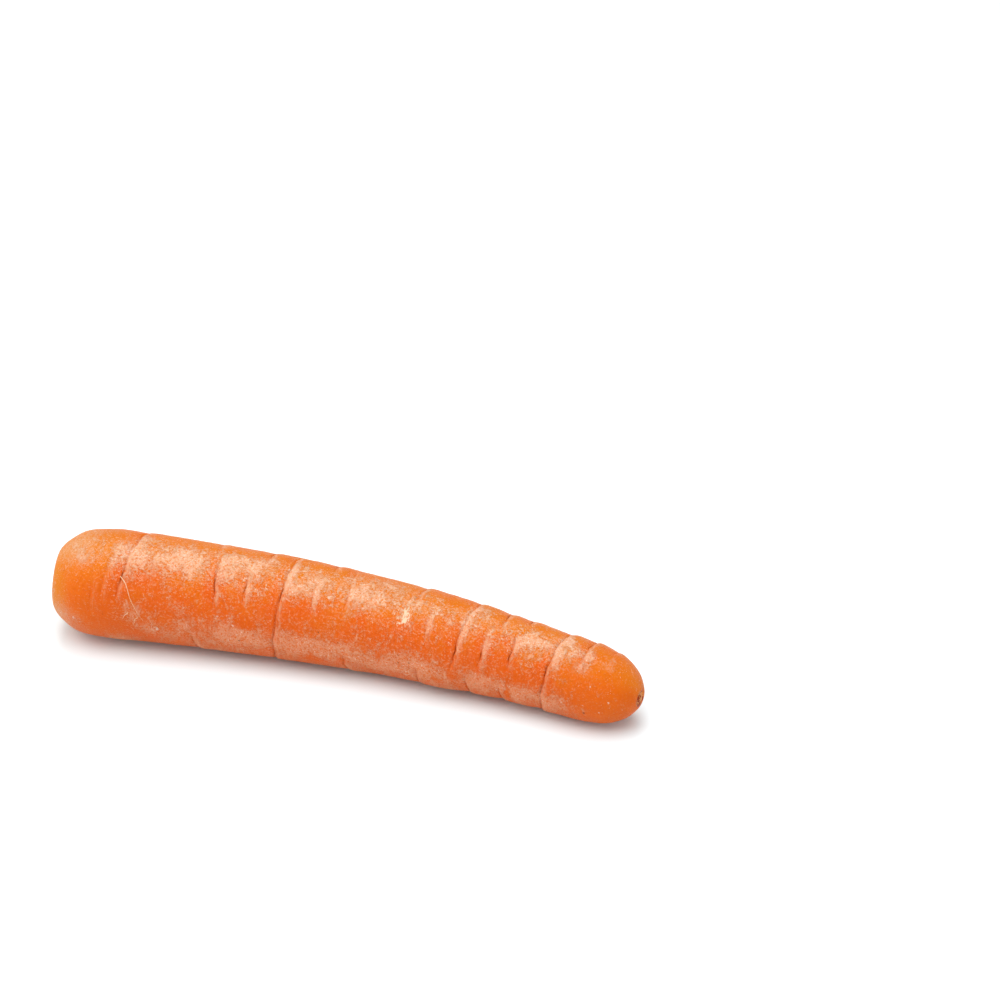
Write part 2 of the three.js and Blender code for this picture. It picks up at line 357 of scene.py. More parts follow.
def hairline_creases(length):
    """Short, shallow creases all round, from a seeded draw."""
    draw = np.random.default_rng(11)
    made = []
    for _ in range(HAIRLINES):
        middle = draw.uniform(0, 360)
        half_span = draw.uniform(5, 16)
        made.append(
            Crease(
                at=draw.uniform(16, length - 14),
                start=middle - half_span,
                end=middle + half_span,
                lean=draw.uniform(-3, 3),
                depth=draw.uniform(0.05, 0.16),
                lip=draw.uniform(0.02, 0.07),
                dark=middle,
            )
        )
    return made


def far_side_patches(length):
    """Film on the side that lies away, from a seeded draw."""
    draw = np.random.default_rng(5)
    return [
        Patch(
            at=draw.uniform(14, length - 12),
            angle=draw.uniform(128, 322),
            length=draw.uniform(1.5, 7),
            span=draw.uniform(7, 20),
            strength=draw.uniform(0.4, 0.95),
        )
        for _ in range(FAR_PATCHES)
    ]


def far_side_pits(length):
    """Pits on the side that lies away, from a seeded draw."""
    draw = np.random.default_rng(8)
    return [
        (draw.uniform(25, length - 10), draw.uniform(125, 320), draw.uniform(0.3, 0.6))
        for _ in range(FAR_PITS)
    ]


def spread(patches, along, angle):
    """The patches added up at each place, each fading out from its middle."""
    total = np.zeros(np.broadcast(along, angle).shape)
    for patch in patches:
        gap = ((along - patch.at) / patch.length) ** 2
        turn = (turned_away(angle, patch.angle) / patch.span) ** 2
        total += patch.strength * np.exp(-(gap + turn))
    return total


class Skin:
    """The root's surface in millimetres: distances from the crown, and angles round from the top."""

    def __init__(self, shape):
        self.length = shape.length / MM
        self.bend_side = shape.bend_side / MM
        self.bend_skew = shape.bend_skew / MM
        self.pressed_flat = shape.pressed_flat / MM
        self.crown_tilt = shape.crown_tilt
        self.tilt_reach = shape.tilt_reach / MM
        self.slit_width = shape.slit_width / MM
        self.outline = smooth_line(OUTLINE, 160)
        self.rest_line = smooth_line(REST_HEIGHTS, 40)
        self.creases = CREASES + far_side_creases()
        self.hairlines = hairline_creases(self.length)
        self.shift = np.zeros(3)

    def middle_line(self, along):
        """Where the middle line is at a distance from the crown, and which way it heads."""
        t = 2 * along / self.length - 1
        side = self.bend_side * (1 - t * t) + self.bend_skew * (t - t**3)
        slope = (-2 * t * self.bend_side + self.bend_skew * (1 - 3 * t * t)) * 2 / self.length
        height = np.interp(along, self.rest_line[:, 0], self.rest_line[:, 1]) - self.pressed_flat
        return along - self.length / 2, side, height, np.arctan(slope)

    def place(self, along, radius, angle):
        """Points at a distance from the crown, a radius and an angle, on the bent root."""
        turn = np.radians(angle)
        tilted = self.crown_tilt * (1 - smooth_step(along, 0, self.tilt_reach))
        x, side, height, heading = self.middle_line(along + tilted * radius * np.cos(turn))
        to_side = -radius * np.sin(turn)
        points = np.stack(
            [
                x - to_side * np.sin(heading),
                side + to_side * np.cos(heading),
                np.maximum(height + radius * np.cos(turn), 0),
            ],
            axis=-1,
        )
        return points + self.shift

    def relief(self, along, angle):
        """How far the skin stands out of the smooth body, and how its creases lie.

        The creases come as the distance past the nearest one in millimetres, how dark its slit is
        there (painted shade), how pale the ring on its tip side is (rubbed film, and painted
        highlight on its lit wall), and how ruddy the dip on its crown side is (painted shade).
        """
        turn = np.radians(angle)
        unevenness = (
            0.16 * np.sin(along / 9 + 1.3 * np.sin(turn))
            + 0.14 * np.sin(2 * turn + along / 23)
            + 0.1 * np.sin(3 * turn - along / 14)
        )
        out = unevenness * (0.6 + 0.4 * np.cos(turn)) + spread(SWELLS, along, angle)
        gap = np.ones_like(out)
        dark = np.zeros_like(out)
        pale = np.zeros_like(out)
        ruddy = np.zeros_like(out)
        for crease in self.creases + self.hairlines:
            fine = crease.depth < FINE_DEPTH
            middle = (crease.start + crease.end) / 2
            away = short_way(middle, angle)
            wobble = 0.2 * np.sin(angle / 6.5 + crease.at) + 0.09 * np.sin(angle / 2.3 + 3 * crease.at)
            past = along - crease.at - crease.lean * (middle + away - NEAR_ANGLE) / 100 + wobble
            present = smooth_step((crease.end - crease.start) / 2 + 8 - np.abs(away), 0, 16)
            groove = bell(past, self.slit_width)
            waist = 0 if fine else 0.35 * bell(past, 3.4)
            ahead = np.maximum(past, 0) / (0.8 if fine else 1.5)
            lip = ahead * np.exp(1 - ahead)
            out += present * (crease.lip * lip - crease.depth * (0.6 * groove + waist))
            strength = present * min(1, crease.depth / 0.5)
            stretch = 0.2 + 0.8 * bell(turned_away(angle, crease.dark), 13)
            # slit: painted shade at the bottom of the crease
            slit = strength * stretch * bell(past, 0.9)
            gap = np.where(slit > dark, past, gap)
            dark = np.maximum(dark, slit)
            # pale: rubbed film on the ring, and painted highlight on its lit wall; ruddy: painted shade in
            # the dip
            pale = np.maximum(pale, strength * bell(past - 1.1, 0.75))
            ruddy = np.maximum(ruddy, strength * bell(past + 1.6, 1.8))
        ends = smooth_step(along, 6, 14) * smooth_step(self.length - along, 4, 14)
        return out * ends, gap, dark * ends, pale * ends, ruddy * ends

    def radius_at(self, along):
        """Radius of the plain outline on the body, between the shoulder and the tip."""
        body = self.outline[int(np.argmax(self.outline[:, 0] > 8)) :]
        return np.interp(along, body[:, 0], body[:, 1])


def ring_places(skin, count):
    """Rings along the outline, closer together at the creases: [distance from the crown, radius]."""
    line = skin.outline
    steps = np.linalg.norm(np.diff(line, axis=0), axis=1)
    crowd = np.ones(len(line))
    for crease in skin.creases:
        crowd += 0.5 * bell(line[:, 0] - crease.at, 1.6)
    crowd = np.minimum(crowd, 2.2)
    reach = np.concatenate([[0], np.cumsum(steps * (crowd[1:] + crowd[:-1]) / 2)])
    wanted = np.linspace(0, reach[-1], count + 2)[1:-1]
    return np.stack([np.interp(wanted, reach, line[:, 0]), np.interp(wanted, reach, line[:, 1])], axis=1)


def skin_grid(rings, sides):
    """Distance from the crown, plain radius and angle of every vertex on the rings."""
    angles = np.arange(sides) * 360 / sides
    return np.repeat(rings[:, 0], sides), np.repeat(rings[:, 1], sides), np.tile(angles, len(rings))


def placed_skin(shape):
    """The skin's surface, set where the CAD root lies."""
    skin = Skin(shape)
    along, plain, angle = skin_grid(ring_places(skin, FIT_RINGS), FIT_SIDES)
    points = skin.place(along, plain + skin.relief(along, angle)[0], angle)
    cad_low, cad_high = (np.array(corner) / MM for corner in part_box("root"))
    skin.shift = (cad_low + cad_high) / 2 - (points.min(axis=0) + points.max(axis=0)) / 2
    skin.shift[2] = 0
    return skin


def object_from(name, vertices, faces):
    """A smooth shaded mesh object in the scene."""
    mesh = bpy.data.meshes.new(name)
    mesh.from_pydata([tuple(v) for v in vertices], [], faces)
    mesh.polygons.foreach_set("use_smooth", [True] * len(mesh.polygons))
    mesh.update()
    made = bpy.data.objects.new(name, mesh)
    bpy.context.scene.collection.objects.link(made)
    return made


def tube_faces(rings, sides, first):
    """Quads between the rings of a tube whose vertices are numbered ring by ring from first."""
    faces = []
    for ring in range(rings - 1):
        for side in range(sides):
            after = (side + 1) % sides
            a = first + ring * sides
            b = a + sides
            faces.append((a + side, a + after, b + after, b + side))
    return faces


def end_fan(start, sides, pole, flip):
    """Triangles from a ring to the point that closes it."""
    faces = []
    for side in range(sides):
        a, b = start + side, start + (side + 1) % sides
        faces.append((b, a, pole) if flip else (a, b, pole))
    return faces


def closed_tube(rings, sides, first=0):
    """Faces of a tube and its two ends, whose end points are numbered after its rings."""
    last = first + (rings - 1) * sides
    pole = last + sides
    faces = tube_faces(rings, sides, first) + end_fan(first, sides, pole, True)
    return faces + end_fan(last, sides, pole + 1, False)


def store(mesh, name, values):
    """Keeps one number, or one vector, for each vertex."""
    values = np.asarray(values, float)
    kind, field = ("FLOAT_VECTOR", "vector") if values.ndim == 2 else ("FLOAT", "value")
    mesh.attributes.new(name, kind, "POINT").data.foreach_set(field, values.ravel())


class Recipe:
    """A material's node tree, written one node a line."""

    def __init__(self, name):
        self.material = bpy.data.materials.new(name)
        self.material.use_nodes = True
        self.tree = self.material.node_tree
        self.shader = self.tree.nodes["Principled BSDF"]

    def feed(self, socket, value):
        """Links a node's output to the socket, or sets the socket to a number or colour."""
        if isinstance(value, bpy.types.NodeSocket):
            self.tree.links.new(value, socket)
        else:
            socket.default_value = value

    def node(self, kind, inputs, **settings):
        made = self.tree.nodes.new(kind)
        for name, value in settings.items():
            setattr(made, name, value)
        for name, value in inputs.items():
            self.feed(made.inputs[name], value)
        return made

    def kept(self, name, output="Fac"):
        """What the mesh keeps for each vertex under this name."""
        return self.node("ShaderNodeAttribute", {}, attribute_name=name).outputs[output]

    def noise(self, place, scale, detail=2.0, roughness=0.5):
        inputs = {"Vector": place, "Scale": scale, "Detail": detail, "Roughness": roughness}
        return self.node("ShaderNodeTexNoise", inputs).outputs[0]

    def stretched(self, place, along, across, up=None):
        """The place, scaled along the root and across it, or by another scale on the upright axis."""
        inputs = {"Vector": place, "Scale": (along, across, up or across)}
        return self.node("ShaderNodeMapping", inputs).outputs[0]

    def sum(self, *terms):
        """Adds (value, weight) pairs, or plain values."""
        total = None
        for term in terms:
            value, weight = term if isinstance(term, tuple) else (term, 1.0)
            inputs = {0: value, 1: weight, 2: 0.0 if total is None else total}
            total = self.node("ShaderNodeMath", inputs, operation="MULTIPLY_ADD").outputs[0]
        return total

    def product(self, *factors):
        total = factors[0]
        for factor in factors[1:]:
            total = self.node("ShaderNodeMath", {0: total, 1: factor}, operation="MULTIPLY").outputs[0]
        return total

    def distance(self, value):
        """The value without its sign."""
        return self.node("ShaderNodeMath", {0: value}, operation="ABSOLUTE").outputs[0]

    def step(self, value, low, high, bottom=0.0, top=1.0):
        """An S from bottom to top as the value goes from low to high."""
        inputs = {"Value": value, "From Min": low, "From Max": high, "To Min": bottom, "To Max": top}
        return self.node("ShaderNodeMapRange", inputs, interpolation_type="SMOOTHSTEP").outputs[0]

    def mix(self, amount, a, b):
        """Colour a where amount is 0, and b where it is 1."""
        inputs = {0: amount, 6: a, 7: b}
        return self.node("ShaderNodeMix", inputs, data_type="RGBA").outputs[2]

    def bump(self, height, distance):
        inputs = {"Height": height, "Distance": distance, "Strength": 1.0}
        self.feed(self.shader.inputs["Normal"], self.node("ShaderNodeBump", inputs).outputs[0])

    def finish(self, **inputs):
        for name, value in inputs.items():
            self.feed(self.shader.inputs[name.replace("_", " ")], value)
        return self.material


def skin_material(colours):
    """Orange skin: clean and satin in places, under a stippled film that is pale where it is dry.
    Painted highlight lightens its upper side and ends; painted shade darkens its creases and crown hollow.
    """
    made = Recipe("carrot_skin")
    place = made.kept("straight", "Vector")
    film = made.kept("film")
    gap = made.kept("gap")
    crease = made.kept("crease")
    ring = made.kept("ring")
    ruddy = made.kept("ruddy")
    end = made.kept("end")
    sunny = made.kept("sunny")
    pit = made.kept("pit")
    fleck = made.kept("fleck")
    scar = made.kept("scar")
    eye = made.kept("eye")
    tip = made.kept("tip")

    clouds = made.noise(place, 0.1, 3.0)
    clumps = made.noise(made.stretched(place, 1.15, 0.9), 0.3, 12.0, 0.72)
    lace = made.noise(made.stretched(place, 0.9, 1.1), 1.05, 6.0, 0.75)
    weave = made.noise(place, 1.35, 5.0, 0.72)
    stipple = made.noise(place, 2.2, 4.0, 0.7)
    streaks = made.noise(made.stretched(place, 2.4, 0.55), 0.9, 5.0, 0.65)
    dashes = made.noise(made.stretched(place, 1.0, 1.3), 1.2, 4.0, 0.68)

    # Clean skin: its own tone varies at random; sunny turns it golden on the upper side as painted highlight,
    # and ruddy turns it redder in the crease dips as painted shade
    warm = made.sum((clouds, 0.9), (sunny, 0.6), (ruddy, -0.12), (lace, 0.5), (weave, 0.3))
    clean = made.mix(made.step(warm, 0.85, 1.5), tuple(colours.deep), tuple(colours.golden))
    # The ends' clean skin: its own golden orange, lightened as painted light from the side lights
    ends_brightened = made.product(end, made.step(lace, 0.35, 0.6, 0.6, 1.0))
    clean = made.mix(ends_brightened, clean, made.mix(sunny, tuple(colours.bright), tuple(colours.sunlit)))
    # pale: the film, paler on the upper side with painted sheen
    pale = made.mix(sunny, tuple(colours.film), tuple(colours.bloom_and_sheen))

    thick = made.sum((film, 0.42), (clumps, 1.7), (lace, 1.1), (ring, 0.16), (ruddy, -0.14), (end, -0.12))
    covered = made.step(thick, 1.55, 1.67)
    dusty = made.product(covered, made.step(made.sum(weave, (stipple, 0.35)), 0.59, 0.75, 0.1, 1.0))
    smooth_film = made.step(made.sum(film, (clouds, 0.6)), 0.4, 1.1, 0.0, 0.36)
    # A smooth pale haze of film, strongest at the two ends, where it is painted highlight
    haze_and_end_highlight = made.product(smooth_film, made.sum((end, 0.9), 0.1), made.step(lace, 0.3, 0.6))
    veil = made.step(made.sum(dashes, (weave, 0.5), (film, 0.1), (end, -0.05)), 0.8, 0.93, 0.0, 0.65)
    web = made.distance(made.sum(made.noise(place, 0.75, 4.0, 0.65), -0.5))
    webbed = made.step(made.sum(dashes, (clumps, 0.5), film, (end, -0.05)), 0.75, 1.1, 0.0, 0.55)
    strands = made.product(made.step(web, 0.006, 0.04, 1.0, 0.0), webbed)
    skin = made.mix(haze_and_end_highlight, clean, pale)
    skin = made.mix(veil, skin, pale)
    skin = made.mix(dusty, skin, pale)
    skin = made.mix(strands, skin, pale)
    # The pale lip on the tip side of a crease: rubbed film, and painted highlight on its lit wall
    rubbed_and_lit_lip = made.product(ring, made.step(streaks, 0.4, 0.6, 0.0, 0.7))
    skin = made.mix(rubbed_and_lit_lip, skin, pale)
    worn = made.step(made.sum(made.noise(place, 1.2, 3.0, 0.6), (stipple, 0.4)), 0.8, 0.92, 0.0, 0.65)
    skin = made.mix(worn, skin, clean)

    # Pale specks of the skin, with painted glints among them, more of them on the upper side through sunny
    dots = made.noise(place, 1.9, 5.0, 0.7)
    glints = made.sum(dots, (clumps, 0.3), (sunny, 0.045), (film, 0.05), (end, -0.012))
    specks_and_glints = made.step(glints, 0.79, 0.86, 0.0, 0.9)
    skin = made.mix(specks_and_glints, skin, tuple(colours.fleck))
    marked = made.step(made.sum(fleck, (stipple, 1.2)), 1.0, 1.3, 0.0, 0.8)
    skin = made.mix(marked, skin, tuple(colours.fleck))
    torn = made.noise(made.stretched(place, 2.6, 0.9), 0.9, 5.0, 0.65)
    fibres = made.step(made.sum((scar, 0.34), torn), 0.74, 0.84)
    skin = made.mix(fibres, skin, tuple(colours.scar))

    # Painted shade: a dark, broken line at the bottom of each crease, and the skin next to it drawn towards
    # the deep colour
    off_line = made.distance(made.sum(gap, (stipple, 0.5), (lace, 0.5), -0.5))
    broken = made.step(made.sum(crease, (weave, 1.4), (streaks, 0.5)), 1.6, 1.95)
    slit = made.product(made.step(off_line, 0.03, 0.18, 1.0, 0.0), broken)
    shaded = made.product(made.step(made.distance(gap), 0.1, 1.0, 1.0, 0.0), crease, 0.3)
    skin = made.mix(shaded, skin, tuple(colours.deep))
    skin = made.mix(made.product(slit, 0.75), skin, tuple(colours.crease))
    pitted = made.step(made.sum(pit, (stipple, 0.8)), 0.95, 1.25, 0.0, 0.85)
    skin = made.mix(pitted, skin, tuple(colours.pit))

    # Painted shade in the crown's hollow round the leaf stalks
    hollow_shade = made.step(made.sum((eye, 1.0), (clumps, 0.5), (stipple, 0.4)), 0.85, 1.35, 0.0, 0.85)
    skin = made.mix(hollow_shade, skin, tuple(colours.eye))
    frayed = made.noise(made.stretched(place, 1.0, 1.9, 0.45), 0.9, 5.0, 0.6)
    scab = made.step(made.sum(tip, (frayed, 2.2), (weave, 0.6)), 1.75, 2.15, 0.0, 0.9)
    cracked = made.step(made.sum(frayed, (stipple, 0.25)), 0.6, 0.68)
    dried = made.mix(cracked, tuple(colours.scab), tuple(colours.crack))
    skin = made.mix(scab, skin, dried)

    rough = made.sum((covered, 0.18), (stipple, 0.2), 0.28)
    grain = made.sum((stipple, 0.6), (weave, 1.0), (lace, 0.8), (streaks, 0.7), (covered, 0.15), (slit, -0.8))
    made.bump(grain, 0.0005)
    return made.finish(
        Base_Color=skin,
        Roughness=rough,
        Subsurface_Weight=0.1,
        Subsurface_Radius=(1.0, 0.32, 0.08),
        Subsurface_Scale=0.0015,
        Specular_IOR_Level=0.1,
    )


def stalk_material(colours):
    """Dry leaf stalk: fibres that run up it, green to straw, brown towards its foot."""
    made = Recipe("leaf_stalk_cut")
    place = made.kept("grown", "Vector")
    dryness = made.kept("dry")
    fibres = made.noise(made.stretched(place, 0.5, 3.2), 1.6, 4.0, 0.65)
    patches = made.noise(place, 0.5, 3.0)
    grain = made.noise(place, 5.0, 3.0, 0.7)
    green = made.step(made.sum((fibres, 0.8), (patches, 0.6)), 0.5, 0.95)
    stalk = made.mix(green, tuple(colours.stalk_green), tuple(colours.stalk_straw))
    brown = made.step(made.sum(dryness, (patches, 0.7), (grain, 0.4)), 0.75, 1.35)
    stalk = made.mix(brown, stalk, tuple(colours.stalk_brown))
    made.bump(made.sum(fibres, (grain, 0.6)), 0.0003)
    return made.finish(Base_Color=stalk, Roughness=made.step(fibres, 0.2, 0.8, 0.65, 0.9))


def rootlet_material(colours):
    """Dry thread-thin root, pale straw and a little darker in places."""
    made = Recipe("rootlet_straw")
    place = made.node("ShaderNodeTexCoord", {}).outputs["Object"]
    shade = made.step(made.noise(place, 900.0, 3.0), 0.35, 0.7)
    made.bump(made.noise(place, 4000.0), 0.00005)
    thread = made.mix(shade, tuple(colours.rootlet), tuple(colours.scar))
    return made.finish(Base_Color=thread, Roughness=0.7)


def paper_material(colours):
    """The studio's white sweep, very slightly uneven."""
    made = Recipe("studio_white")
    place = made.node("ShaderNodeTexCoord", {}).outputs["Object"]
    shade = made.noise(place, 3.0)
    near_white = tuple(0.985 * c for c in colours.paper[:3]) + (1.0,)
    return made.finish(Base_Color=made.mix(shade, near_white, tuple(colours.paper)), Roughness=0.9)


def size(name, text, default):
    return FloatProperty(name=name, description=text, default=default, unit="LENGTH", precision=5)


def colour(name, text, default):
    return FloatVectorProperty(
        name=name, description=text, default=default + (1.0,), size=4, subtype="COLOR", min=0, max=1
    )


class CarrotShape(bpy.types.PropertyGroup):
    """Sizes of the root."""

    length: size("Length", "From the crown to the tip along the middle line", 0.190)
    bend_side: size("Bend", "How far the middle stands to the side of a line through the two ends", 0.009)
    bend_skew: size("Bend skew", "Moves the deepest point of the bend towards the tip", 0.0009)
    pressed_flat: size("Pressed flat", "Depth of the flat that the skin makes on the table", 0.0004)
    crown_tilt: FloatProperty(
        name="Crown tilt",
        description="Slope of the crown's face, whose top lies nearer to the tip",
        default=0.06,
    )
    tilt_reach: size("Tilt reach", "Distance from the crown at which that slope has died out", 0.02)
    slit_width: size("Slit width", "Half width of the narrow groove at the bottom of a crease", 0.0003)
    stalk_radius: size("Stalk tuft radius", "Radius of the tuft of leaf stalks in the crown", 0.0045)
    stalk_foot: size("Stalk foot", "Distance of the tuft's foot below the rim of the crown", 0.00325)
    rootlet_radius: size("Rootlet radius", "Radius of the thickest rootlet at its root", 0.00011)
    rings: IntProperty(name="Rings", description="Rings of vertices along the root", default=770, min=60)
    sides: IntProperty(name="Sides", description="Vertices round the root", default=128, min=24)


class CarrotColours(bpy.types.PropertyGroup):
    """Colours of the skin, the stalks and the studio."""

    deep: colour("Deep skin", "Clean skin at its reddest", (0.71, 0.1, 0.001))
    golden: colour("Golden skin", "Clean skin at its yellowest", (0.72, 0.178, 0.001))
    # Bright skin: the ends' own clean orange, lightened as painted light from the side lights
    bright: colour("Bright skin", "Clean skin at the two ends, on their flanks", (0.76, 0.128, 0.001))
    sunlit: colour("Sunlit skin", "Clean skin at the two ends, on their upper side", (0.70, 0.21, 0.001))
    film: colour("Film", "Dry film on the flanks", (0.73, 0.27, 0.135))
    # Bloom: the dry film on the upper side, made paler with painted sheen from the light overhead
    bloom_and_sheen: colour("Bloom", "Dry film on the upper side", (0.77, 0.445, 0.28))
    # Fleck colours the real pale marks, and also the specks, which are partly painted glints
    fleck: colour("Fleck", "Small pale marks", (0.84, 0.59, 0.45))
    scar: colour("Scar", "Torn fibres", (0.86, 0.62, 0.42))
    # Crease: painted shade at the bottom of a crease
    crease: colour("Crease", "The bottom of a crease", (0.30, 0.035, 0.008))
    pit: colour("Pit", "Small dark marks", (0.16, 0.045, 0.02))
    # Eye: painted shade in the crown's hollow round the leaf stalks
    eye: colour("Eye", "Skin round the leaf stalks", (0.20, 0.075, 0.035))
    scab: colour("Scab", "Dried fibres at the tip", (0.84, 0.41, 0.14))
    crack: colour("Crack", "Cracks between the dried fibres", (0.33, 0.03, 0.004))
    stalk_green: colour("Stalk green", "Leaf stalk where it is greenest", (0.13, 0.115, 0.012))
    stalk_straw: colour("Stalk straw", "Leaf stalk where it is driest", (0.54, 0.47, 0.2))
    stalk_brown: colour("Stalk brown", "Leaf stalk where it has gone dark", (0.06, 0.035, 0.014))
    rootlet: colour("Rootlet", "Rootlets on the skin", (0.85, 0.52, 0.26))
    paper: colour("Paper", "The studio's sweep", (0.825, 0.92, 0.95))


class CarrotStudio(bpy.types.PropertyGroup):
    """Where the camera and the lights stand."""

    azimuth: FloatProperty(
        name="Camera azimuth",
        description="Degrees round from looking along +Y towards looking along -X",
        default=math.radians(16.45),
        subtype="ANGLE",
    )
    elevation: FloatProperty(
        name="Camera elevation",
        description="Height of the camera above the horizon",
        default=math.radians(35),
        subtype="ANGLE",
    )
    distance: size("Camera distance", "From the camera to the spot that it looks at", 1.1079)
    aim: FloatVectorProperty(
        name="Aim",
        description="Spot on the table that the camera looks at",
        default=(0.0200, 0.1000, 0.0),
        subtype="TRANSLATION",
    )
    lens: FloatProperty(name="Lens", description="Focal length", default=118.8, unit="CAMERA")
    key_power: FloatProperty(name="Key power", description="Power of the large light overhead", default=12.6)
    sheen_power: FloatProperty(name="Sheen power", description="Power of the light behind it", default=4.8)
    fill_power: FloatProperty(name="Fill power", description="Power of the light off the tip", default=2.7)
    side_power: FloatProperty(name="Side power", description="Power of the light off the crown", default=4.8)
    room: FloatProperty(name="Room", description="Brightness of the white room", default=0.45)


def add_root(shape, colours):
    """The root's fine skin, in place of the CAD root."""
    skin = placed_skin(shape)
    along, plain, angle = skin_grid(ring_places(skin, shape.rings), shape.sides)

    out, gap, dark, pale, ruddy = skin.relief(along, angle)
    turn = np.radians(angle)
    straight = np.stack([along, -plain * np.sin(turn), plain * np.cos(turn)], axis=-1)
    waves = 0.09 * noise_at(straight / 5.0, 1) + 0.05 * noise_at(straight * (1 / 1.4, 1 / 3.2, 1 / 3.2), 2)
    calm = smooth_step(along, 3, 12) * smooth_step(skin.length - along, 2, 10) * (plain > 6.5)
    radius = np.maximum(plain + out + waves * calm, 0)
    points = skin.place(along, radius, angle)

    ends_at = np.array([OUTLINE[0][0], OUTLINE[-1][0]])
    end_middles = skin.place(ends_at, np.zeros(2), np.zeros(2))
    vertices = np.vstack([points, end_middles]) * MM
    root = object_from("carrot_root", vertices, closed_tube(shape.rings, shape.sides))

    film = film_thickness(skin, along, angle)
    pits = spots(PITS + far_side_pits(skin.length), along, angle, skin)
    flecks = spots(FLECKS, along, angle, skin)
    near_eye = smooth_step(8.4 - plain, 0, 3.6) * (along < 9)
    near_tip = smooth_step(4.6 - plain, 0, 4) * (along > skin.length - 8)
    tip_share = smooth_step(along, skin.length - 26, skin.length - 8)
    ends = np.maximum(smooth_step(24 - along, 0, 18), 0.85 * tip_share)
    # sunny: painted highlight on the upper side and on the crown's face, less towards the tip
    sunny = np.maximum(sunny_share(angle), 0.9 * smooth_step(9 - along, 0, 9)) * (1 - 0.5 * tip_share)
    mesh = root.data
    poles = np.array([[OUTLINE[0][0], 0, 0], [OUTLINE[-1][0], 0, 0]])
    store(mesh, "straight", np.vstack([straight, poles]))
    kept = [
        ("film", film, 0, 0),
        ("gap", gap, 1, 1),
        ("crease", dark, 0, 0),
        ("ring", pale, 0, 0),
        ("ruddy", ruddy, 0, 0),
        ("end", ends, 1, 1),
        ("sunny", sunny, 0.9, 0.5),
        ("pit", pits, 0, 0),
        ("fleck", flecks, 0, 0),
        ("scar", spread([SCAR], along, angle), 0, 0),
        ("eye", near_eye, 1, 0),
        ("tip", near_tip, 0, 1),
    ]
    for name, values, at_eye, at_tip in kept:
        store(mesh, name, np.concatenate([values, [at_eye, at_tip]]))

    mesh.materials.append(skin_material(colours))
    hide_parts("root")
    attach(root, "root")


def sunny_share(angle):
    """1 on the upper side, where the light overhead falls, for painted sheen and highlight, and less away
    from it.
    """
    turn = short_way(8, angle)
    return bell(turn, np.where(turn < 0, 105, 38))


def film_thickness(skin, along, angle):
    """Where the film lies: a little all over, more on the upper and lower flanks, and the patches.
    On the upper flank it also stands for painted sheen from the light overhead, and on the lower flank for a
    painted reflection of the floor.

    It goes below 0 where the skin is cleanest, as along the back of the upper flank.
    """
    body = smooth_step(along, 12, 26) * smooth_step(skin.length - along, 8, 26)
    # upper: film that is partly painted sheen; lower: film that is partly a painted reflection of the floor
    upper = bell(turned_away(angle, 17), 28)
    clean = bell(turned_away(angle, -26), 15)
    lower = bell(turned_away(angle, 102), 22) * smooth_step(along, 30, 60)
    far = smooth_step(turned_away(angle, 40), 75, 110)
    thin = body * (0.05 + 0.28 * upper - 0.5 * clean + 0.3 * lower + 0.2 * far)
    thin += 0.06 * smooth_step(along, skin.length - 22, skin.length - 10)
    thick = spread(FILM_PATCHES + far_side_patches(skin.length), along, angle)
    return np.clip(thin + thick - spread(BARE_PATCHES, along, angle), -0.4, 1)


def spots(marks, along, angle, skin):
    """Round spots on the skin, 1 at the middle of each."""
    total = np.zeros_like(along)
    radius = skin.radius_at(along)
    for at, middle, width in marks:
        sideways = np.radians(turned_away(angle, middle)) * radius
        total = np.maximum(total, np.exp(-((along - at) ** 2 + sideways**2) / width**2))
    return total


class Bundle:
    """Gathers closed shells, with what each vertex keeps, into one mesh."""

    def __init__(self):
        self.vertices, self.faces, self.grown, self.dry = [], [], [], []

    def add(self, sections, grown, dry):
        """Adds a closed shell through the sections, an array of rings of points, capped at both ends."""
        rings, sides = sections.shape[:2]
        first = sum(len(part) for part in self.vertices)
        flat = sections.reshape(-1, 3)
        caps = np.stack([sections[0].mean(axis=0), sections[-1].mean(axis=0)])
        self.vertices.append(np.vstack([flat, caps]))
        self.faces += closed_tube(rings, sides, first)
        grown_flat = grown.reshape(-1, 3)
        self.grown.append(np.vstack([grown_flat, grown[0].mean(axis=0), grown[-1].mean(axis=0)]))
        dry_flat = np.broadcast_to(dry, sections.shape[:2]).reshape(-1)
        self.dry.append(np.concatenate([dry_flat, [dry_flat[0], dry_flat[-1]]]))

    def make(self, name):
        made = object_from(name, np.vstack(self.vertices), self.faces)
        store(made.data, "grown", np.vstack(self.grown))
        store(made.data, "dry", np.concatenate(self.dry))
        return made


def crescent(width, thickness, sides, ribs):
    """A ribbed crescent, hollow towards -Y, as an array of [x, y] in millimetres."""
    turn = np.linspace(0, 2 * math.pi, sides, endpoint=False)
    across = np.cos(turn)
    swell = 1 + 0.09 * np.cos(ribs * turn) * (np.sin(turn) > 0)
    deep = np.sin(turn) * np.where(np.sin(turn) > 0, 0.62, 0.3) * thickness * swell
    bow = 0.55 * thickness * (1 - across**2) - 0.3 * thickness
    return np.stack([across * width / 2, deep + bow], axis=-1)


def turned_ring(x, y, up, turn):
    """A ring of points, turned round the middle of the tuft."""
    cosine, sine = math.cos(turn), math.sin(turn)
    return np.stack([x * cosine - y * sine, x * sine + y * cosine, up], axis=-1)


def grown_places(rings, turn):
    """Places for the fibres of one stalk, apart from those of its neighbours."""
    return np.stack([rings[..., 2] + 9 * turn, rings[..., 0], rings[..., 1]], axis=-1)


